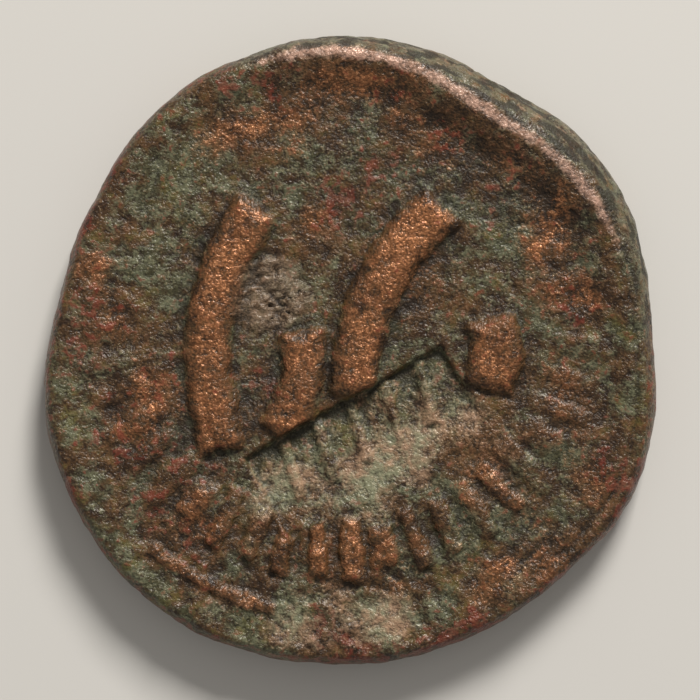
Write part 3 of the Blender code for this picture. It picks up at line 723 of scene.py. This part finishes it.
def patches(points, spots, seed):
    """Soft uneven patches round the given spots, 0 to 1."""
    x, y = points[:, 0] / MM, points[:, 1] / MM
    bend = 0.5 * lumps(points, 1.6 * MM, seed) + 0.25 * lumps(points, 0.6 * MM, seed + 1)
    total = np.zeros(len(points))
    for at_x, at_y, spread, strength in spots:
        away = np.hypot(x - at_x, y - at_y) / spread
        total += strength * np.exp(-np.maximum(away + bend, 0) ** 2)
    return np.clip(total, 0, 1)


def tone_masks(points, hollow_shade, masks):
    """Where each colour of the patina lies: masks by name, 0 to 1."""
    x, y, z = points.T
    radius, angle = polar(x, y)
    inside = flan_radius(angle) - radius
    reverse = ease(z, 1.7 * MM, 2.0 * MM)
    shoulder = upper_shoulder(angle)
    # A band along the rim's crest, for a painted highlight
    crest = np.exp(-(((inside - shoulder * CREST_HIGHLIGHT_INSET) / CREST_HIGHLIGHT_WIDTH) ** 2)) * reverse
    drift = ease(lumps(points, 4.5 * MM, 53), -0.5, 0.6)

    def shown(spots, seed, hidden):
        return patches(points, spots, seed) * reverse + hidden * (1 - reverse)

    flank = (1 - ease(inside, shoulder * 0.55, shoulder)) * ease(z, 0.3 * MM, 0.9 * MM)
    weathered = stretch(angle, WEATHERED_FROM, WEATHERED_TO, TURN_FADE)
    run = along_edge(points)
    streaks = ease(lumps(run, 0.55 * MM, 63), 0.0, 0.45) * flank * weathered
    lines = ease(lumps(run, 0.4 * MM, 64), 0.1, 0.5) * flank * weathered
    kept = ease(lumps(points, 1.9 * MM, 65), -0.5, 0.25)
    metal = (STROKE_METAL[0] + STROKE_METAL[1] * kept) * masks["bold"]
    metal += RING_METAL * masks["small"] + THIN_METAL * masks["thin"]
    copper = shown(COPPER_PATCHES, 51, 0.35 * drift) * (1 - 0.7 * masks["bold"])
    cuprite = shown(CUPRITE_PATCHES, 55, 0.35 * (1 - drift))
    # Dark patina patches, partly painted shade inside the upper rim, painted shade in the hollows and
    # dark streaks on the edge
    dark_and_shade = shown(DARK_AND_SHADED_PATCHES, 57, 0) + hollow_shade + streaks
    tones = {
        "copper": copper + metal,
        "cuprite": cuprite + 0.5 * flank * (1 - weathered),
        # Painted shadow on the countermark's deep side by its upper wall, and darker along the seam in
        # the edge
        "dark_and_shade": dark_and_shade + 0.5 * masks["seam"] + 0.05 * masks["mark"] ** 3,
        "pale": shown(PALE_PATCHES, 59, 0) + 0.45 * masks["mark"] + 0.7 * lines,
        "verdant": shown(GREEN_PATCHES, 61, 0.4 * (1 - drift)) + 0.8 * masks["mark"],
        # Painted highlight on the rim's crest, only on the side towards the key light
        "crest": crest * stretch(angle, CREST_HIGHLIGHT_FROM, CREST_HIGHLIGHT_TO, TURN_FADE),
        "flank": flank * weathered,
        "porous": masks["porous"],
    }
    return {name: np.clip(values, 0, 1) for name, values in tones.items()}


def linear(red, green, blue):
    """A colour from its 0 to 255 screen values."""
    parts = (value / 255 for value in (red, green, blue))
    return (*(p / 12.92 if p <= 0.04045 else ((p + 0.055) / 1.055) ** 2.4 for p in parts), 1.0)


class Link:
    """An output of a material's node, on which sums and products add nodes."""

    def __init__(self, shades, socket):
        self.shades, self.socket = shades, socket

    def _maths(self, operation, first, second):
        return self.shades.node("ShaderNodeMath", {"operation": operation}, {0: first, 1: second})

    def __add__(self, other):
        return self._maths("ADD", self, other)

    def __radd__(self, other):
        return self._maths("ADD", other, self)

    def __sub__(self, other):
        return self._maths("SUBTRACT", self, other)

    def __rsub__(self, other):
        return self._maths("SUBTRACT", other, self)

    def __mul__(self, other):
        return self._maths("MULTIPLY", self, other)

    def __rmul__(self, other):
        return self._maths("MULTIPLY", other, self)


class Shades:
    """A material's node tree."""

    def __init__(self, name):
        self.material = bpy.data.materials.new(name)
        self.material.use_nodes = True
        self.tree = self.material.node_tree
        self.shader = self.tree.nodes["Principled BSDF"]

    def put(self, socket, value):
        if isinstance(value, Link):
            self.tree.links.new(value.socket, socket)
        else:
            socket.default_value = value

    def node(self, kind, settings, inputs, output=0):
        """Adds a node: its settings first, then the values or links of its sockets."""
        node = self.tree.nodes.new(kind)
        for name, value in settings.items():
            setattr(node, name, value)
        for name, value in inputs.items():
            by_identifier = [s for s in node.inputs if s.identifier == name]
            self.put(by_identifier[0] if by_identifier else node.inputs[name], value)
        return Link(self, node.outputs[output])

    def mask(self, name):
        """A mask that the mesh carries at its points."""
        return self.node("ShaderNodeAttribute", {"attribute_name": name}, {}, "Fac")

    def mix(self, first, second, share):
        """The first colour where share is 0 and the second where it is 1."""
        inputs = {"Factor_Float": share, "A_Color": first, "B_Color": second}
        return self.node("ShaderNodeMix", {"data_type": "RGBA"}, inputs, 2)

    def away(self, value, level):
        """How far a value is from a level."""
        return self.node("ShaderNodeMath", {"operation": "ABSOLUTE"}, {0: value - level})

    def ease(self, value, low, high):
        """0 below low, 1 above high and smooth between them."""
        settings = {"interpolation_type": "SMOOTHSTEP"}
        inputs = {"Value": value, "From Min": low, "From Max": high}
        return self.node("ShaderNodeMapRange", settings, inputs)

    def place(self, size):
        """Places on the object, counted in grains of the given size in metres."""
        place = self.node("ShaderNodeTexCoord", {}, {}, "Object")
        inputs = {0: place, "Scale": 1 / size}
        return self.node("ShaderNodeVectorMath", {"operation": "SCALE"}, inputs)

    def grain(self, size, detail=2.0, roughness=0.5, seed=0.0):
        """Noise whose grains have the given size in metres, about 0 to 1."""
        inputs = {0: self.place(size), 1: (seed, seed, seed)}
        moved = self.node("ShaderNodeVectorMath", {"operation": "ADD"}, inputs)
        inputs = {"Vector": moved, "Scale": 1.0, "Detail": detail, "Roughness": roughness}
        return self.node("ShaderNodeTexNoise", {}, inputs, "Fac")

    def pebbles(self, size):
        """Rounded grains of the given size in metres, 0 in their middles."""
        inputs = {"Vector": self.place(size), "Scale": 1.0}
        return self.node("ShaderNodeTexVoronoi", {"feature": "SMOOTH_F1"}, inputs, "Distance")


def patinated_bronze(patina, form):
    """Copper showing through brown, green and red patina, with dirt and painted shade in the hollows,
    a painted highlight on the rim's crest and painted glints on the grain.
    """
    shades = Shades("patinated_bronze")
    fine = shades.grain(FINE_GRAIN, 1.0, 0.5)
    medium = shades.grain(MEDIUM_GRAIN, 2.0, 0.5, 7.0)
    wide = shades.grain(WIDE_GRAIN, 4.0, 0.6, 13.0)
    second = shades.grain(SECOND_GRAIN, 4.0, 0.6, 29.0)
    third = shades.grain(THIRD_GRAIN, 4.0, 0.6, 47.0)
    pebbles = shades.pebbles(PEBBLE_SIZE)
    metals = (shades.mask(name) for name in ("copper", "cuprite", "dark_and_shade", "pale"))
    copper, cuprite, dark_and_shade, pale = metals
    places = (shades.mask(name) for name in ("verdant", "crest", "flank", "porous"))
    verdant, crest, flank, porous = places

    def between(first, second, share):
        return shades.mix((*first, 1), (*second, 1), share)

    def over(base, colour, share):
        return shades.mix(base, (*colour, 1), share)

    lighter = shades.ease(second * 0.75 + fine * 0.25, 0.36, 0.62)
    brown = between(patina.earth, patina.ochre, lighter)
    lighter = shades.ease(third * 0.75 + fine * 0.25, 0.4, 0.66)
    green = between(patina.green, patina.teal, lighter)
    greened = wide * 0.5 + third * 0.2 + medium * 0.2 + fine * 0.1
    greened = shades.ease(greened + verdant * 0.12 - copper * 0.14, 0.46, 0.58)
    base = shades.mix(brown, green, greened * 0.8)
    mossy = shades.ease(second + verdant * 0.06 - copper * 0.2, 0.55, 0.66)
    base = over(base, patina.moss, mossy * 0.5)
    rusted = second * 0.5 + medium * 0.35 + fine * 0.15
    rusted = shades.ease(rusted + copper * 0.1 - verdant * 0.08, 0.51, 0.61)
    base = over(base, patina.rust, rusted * 0.55)
    bright = shades.ease(fine * 0.6 + medium * 0.25 + second * 0.15 + copper * 0.4, 0.64, 1.02)
    metal = between(patina.brown, patina.copper, bright)
    bared = wide * 0.25 + third * 0.3 + medium * 0.3 + fine * 0.15 + copper * 0.45
    bared = shades.ease(bared, 0.6, 0.85)
    base = shades.mix(base, metal, bared)
    red = shades.ease(third * 0.6 + medium * 0.4 + cuprite * 0.19, 0.58, 0.69)
    base = over(base, patina.cuprite, red * 0.65)
    specks = shades.ease(medium * 0.5 + wide * 0.25 + second * 0.25, 0.57, 0.66)
    base = over(base, patina.specks, specks * (1 - bared) * 0.45)
    chalk = between(patina.pale, patina.chalk, shades.ease(wide * 0.5 + third * 0.5, 0.4, 0.6))
    chalky = shades.ease(pale * 0.8 + medium * 0.6 + fine * 0.4, 0.7, 1.3)
    base = shades.mix(base, chalk, chalky * 0.75)
    pumiced = porous * shades.ease(third * 0.6 + fine * 0.4, 0.3, 0.55)
    base = over(base, patina.pumice, pumiced * 0.7)
    greyed = flank * shades.ease(third * 0.7 + fine * 0.3, 0.35, 0.6)
    base = over(base, patina.verdigris, greyed * 0.7)
    # Painted highlight: a pink band along the rim's crest
    crest_highlight_share = shades.ease(crest * 0.6 + third * 0.7 + fine * 0.3, 0.75, 1.2)
    base = over(base, patina.crest_highlight_colour, crest_highlight_share * 0.85)
    # Painted glints: a light colour on the tips of the fine grain
    painted_glints = shades.ease(fine * 0.7 + medium * 0.3, 0.58, 0.74)
    base = over(base, patina.glint, painted_glints * 0.25)
    veins = 1 - shades.ease(shades.away(third, 0.5), 0.0, 0.05)
    # Dark specks of dirt in the grain, and painted shade in the hollows and on the countermark's deep
    # side
    soiled_and_shaded = 1 - fine * 0.4 - medium * 0.6 + dark_and_shade * (flank * 0.25 + 0.3)
    soiled_and_shaded = shades.ease(soiled_and_shaded + veins * 0.08 - bared * 0.26, 0.45, 0.85)
    base = over(base, patina.soil_and_shade, soiled_and_shaded * 0.75)
    shades.put(shades.shader.inputs["Base Color"], base)
    shades.put(shades.shader.inputs["Specular IOR Level"], 0.4)

    shades.put(shades.shader.inputs["Metallic"], bared * (1 - red) * 0.4 + 0.05)
    rough = 0.34 - bared * 0.02 - crest * 0.06 + (medium - 0.5) * 0.3 + soiled_and_shaded * 0.2
    shades.put(shades.shader.inputs["Roughness"], rough)
    height = fine * 0.5 + medium * 0.75 + (1 - pebbles) * 0.35 - veins * 0.12
    bump = {"Strength": 1.0, "Distance": form.grain_height, "Height": height}
    shades.put(shades.shader.inputs["Normal"], shades.node("ShaderNodeBump", {}, bump))
    return shades.material


def studio_floor(colour):
    shades = Shades("studio_floor")
    shades.put(shades.shader.inputs["Base Color"], (*colour, 1))
    shades.put(shades.shader.inputs["Roughness"], 0.9)
    return shades.material


def colour_property(name, description, screen):
    colour = linear(*screen)[:3]
    return FloatVectorProperty(
        name=name, description=description, default=colour, subtype="COLOR", min=0, max=1
    )


def length_property(name, description, default):
    return FloatProperty(
        name=name, description=description, default=default, min=0, unit="LENGTH", precision=5
    )


class CoinForm(PropertyGroup):
    """Heights of the coin's relief."""

    stroke_height: length_property("Stroke height", "Height of the bold strokes", 0.42 * MM)
    ring_height: length_property("Ring height", "Height of the clearest short strokes", 0.27 * MM)
    mark_depth: length_property("Mark depth", "Depth of the countermark's deep side", 0.42 * MM)
    mark_stroke_height: length_property(
        "Mark strokes", "Height of the strokes in the countermark", 0.17 * MM
    )
    pit_depth: length_property("Pit depth", "Depth of the corrosion pits", 0.15 * MM)
    grain_height: length_property("Grain height", "Height of the skin's fine grain", 0.09 * MM)
    lumpiness: FloatProperty(
        name="Lumpiness", description="Wear and swelling of the skin", default=1, min=0
    )


class CoinPatina(PropertyGroup):
    """Colours of the coin's metal and patina."""

    earth: colour_property("Earth", "Darkest brown patina", (54, 36, 22))
    ochre: colour_property("Ochre", "Lighter brown patina", (98, 72, 44))
    green: colour_property("Green", "Dark green patina", (70, 71, 48))
    teal: colour_property("Teal", "Light green specks", (120, 124, 98))
    moss: colour_property("Moss", "Yellowish green specks", (108, 104, 52))
    rust: colour_property("Rust", "Reddish brown patina", (102, 64, 40))
    brown: colour_property("Brown", "Tarnished metal", (126, 82, 52))
    copper: colour_property("Copper", "Bared metal", (218, 148, 100))
    cuprite: colour_property("Cuprite", "Red corrosion", (116, 46, 34))
    specks: colour_property("Red specks", "Small red spots in the patina", (134, 62, 48))
    pale: colour_property("Pale", "Chalky patina", (182, 148, 120))
    chalk: colour_property("Chalk", "Greenish chalky patina", (146, 146, 118))
    pumice: colour_property("Pumice", "Porous patch", (136, 116, 96))
    verdigris: colour_property("Verdigris", "Weathered edge", (100, 100, 80))
    # Colour of the painted highlight along the rim's crest
    crest_highlight_colour: colour_property("Rosy", "Rubbed crest of the rim", (206, 166, 146))
    # Colour of the painted glints
    glint: colour_property("Glint", "Tips of the fine grain", (190, 158, 124))
    # Colour of dirt specks, and of the painted shade in the hollows
    soil_and_shade: colour_property("Soil", "Dirt in the hollows", (24, 20, 14))


class CoinStudio(PropertyGroup):
    """Floor, lights and camera."""

    floor_colour: colour_property("Floor", "Colour of the floor", (214, 212, 208))
    floor_size: length_property("Floor size", "Length of the floor's sides", 1.2)
    light_colour: colour_property("Light colour", "Colour of all the light", (255, 251, 245))
    key_power: FloatProperty(
        name="Key light", description="Power", default=2.4, min=0, unit="POWER"
    )
    key_azimuth: FloatProperty(
        name="Key direction",
        description="From the coin's +X",
        default=math.radians(72),
        subtype="ANGLE",
    )
    key_elevation: FloatProperty(
        name="Key elevation",
        description="Above the floor",
        default=math.radians(36),
        subtype="ANGLE",
    )
    key_distance: length_property("Key distance", "From the coin", 0.45)
    key_size: length_property("Key size", "Side of the soft light", 0.13)
    room_light: FloatProperty(
        name="Room light", description="Strength of the light all round", default=0.3, min=0
    )
    lens: FloatProperty(name="Lens", description="Focal length", default=150, unit="CAMERA")
    view_width: length_property("View width", "Width of the view at the coin", 29.75 * MM)


class MESH_OT_add_struck_coin(Operator):
    """Add the worn coin over its plain solid"""

    bl_idname = "mesh.add_struck_coin"
    bl_label = "Struck Coin"

    def execute(self, context):
        form, patina = context.scene.coin_form, context.scene.coin_patina
        points, squares, triangles, masks = coin_surface(form)
        normals = surface_normals(points, squares, triangles)
        depth = wear(points, masks, form)
        worn = points + normals * depth[:, None]
        facing = surface_normals(worn, squares, triangles)
        # How far each point lies below its smoothed surroundings: hollows that get painted shade
        sunk = ((blurred(worn, squares, HOLLOW_ROUNDS) - worn) * facing).sum(axis=1)
        hollow_shade = sunk / HOLLOW_SHADE_DEPTH
        tones = tone_masks(points, np.clip(hollow_shade, 0, 1), masks)
        middle = [(flan_extent(k, -1) + flan_extent(k, 1)) / 2 for k in (0, 1)]
        worn[:, :2] -= middle
        worn = np.clip(worn, COIN_LOW, COIN_HIGH)
        mesh = bpy.data.meshes.new("coin_worn")
        mesh.from_pydata(worn.tolist(), [], squares.tolist() + triangles.tolist())
        for name, values in tones.items():
            attribute = mesh.attributes.new(name, "FLOAT", "POINT")
            attribute.data.foreach_set("value", values.astype(np.float32))
        mesh.shade_smooth()
        mesh.materials.append(patinated_bronze(patina, form))
        coin = bpy.data.objects.new("coin_worn", mesh)
        context.scene.collection.objects.link(coin)
        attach(coin, "root")
        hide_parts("coin")
        return {"FINISHED"}


def flan_extent(axis, side):
    """How far the outline reaches along an axis."""
    angle = np.arange(0, 360, OUTLINE_STEP)
    along = flan_radius(angle) * (np.cos, np.sin)[axis](np.radians(angle))
    return along.max() if side > 0 else along.min()


class SCENE_OT_add_coin_studio(Operator):
    """Add the floor, the soft lights and the camera over the coin"""

    bl_idname = "scene.add_coin_studio"
    bl_label = "Coin Studio"

    def execute(self, context):
        studio = context.scene.coin_studio
        half = studio.floor_size / 2
        mesh = bpy.data.meshes.new("floor")
        corners = [(-half, -half, 0), (half, -half, 0), (half, half, 0), (-half, half, 0)]
        mesh.from_pydata(corners, [], [(0, 1, 2, 3)])
        mesh.materials.append(studio_floor(studio.floor_colour))
        floor = bpy.data.objects.new("floor", mesh)
        context.scene.collection.objects.link(floor)

        key = bpy.data.lights.new("key", "AREA")
        key.energy, key.size, key.color = studio.key_power, studio.key_size, studio.light_colour
        lamp = bpy.data.objects.new("key", key)
        flat = math.cos(studio.key_elevation) * studio.key_distance
        lamp.location = (
            flat * math.cos(studio.key_azimuth),
            flat * math.sin(studio.key_azimuth),
            math.sin(studio.key_elevation) * studio.key_distance,
        )
        lamp.rotation_euler = lamp.location.to_track_quat("Z", "Y").to_euler()
        context.scene.collection.objects.link(lamp)

        world = bpy.data.worlds.new("room")
        world.use_nodes = True
        glow = world.node_tree.nodes["Background"].inputs
        glow["Color"].default_value = (*studio.light_colour, 1)
        glow["Strength"].default_value = studio.room_light
        context.scene.world = world
        context.scene.view_settings.view_transform = "Standard"

        camera = bpy.data.cameras.new("camera")
        camera.lens, camera.clip_start = studio.lens, CAMERA_NEAR
        over = bpy.data.objects.new("camera", camera)
        level = studio.view_width * studio.lens / camera.sensor_width + BELLY_LEVEL
        over.location = (0, 0, level)
        context.scene.collection.objects.link(over)
        context.scene.camera = over
        return {"FINISHED"}


class VIEW3D_PT_coin(Panel):
    """Lists the coin's operators and settings"""

    bl_label = "Struck Coin"
    bl_space_type = "VIEW_3D"
    bl_region_type = "UI"
    bl_category = "Coin"

    def draw(self, context):
        for operator in (MESH_OT_add_struck_coin, SCENE_OT_add_coin_studio):
            self.layout.operator(operator.bl_idname)
        for group in GROUPS:
            settings = getattr(context.scene, group)
            box = self.layout.box()
            for name in settings.__annotations__:
                box.prop(settings, name)


GROUPS = {"coin_form": CoinForm, "coin_patina": CoinPatina, "coin_studio": CoinStudio}
CLASSES = (*GROUPS.values(), MESH_OT_add_struck_coin, SCENE_OT_add_coin_studio, VIEW3D_PT_coin)


def register():
    for cls in CLASSES:
        bpy.utils.register_class(cls)
    for name, group in GROUPS.items():
        setattr(bpy.types.Scene, name, PointerProperty(type=group))


def unregister():
    for name in GROUPS:
        delattr(bpy.types.Scene, name)
    for cls in reversed(CLASSES):
        bpy.utils.unregister_class(cls)


def main():
    register()
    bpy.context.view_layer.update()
    bpy.ops.mesh.add_struck_coin()
    bpy.ops.scene.add_coin_studio()


if __name__ == "__main__":
    main()
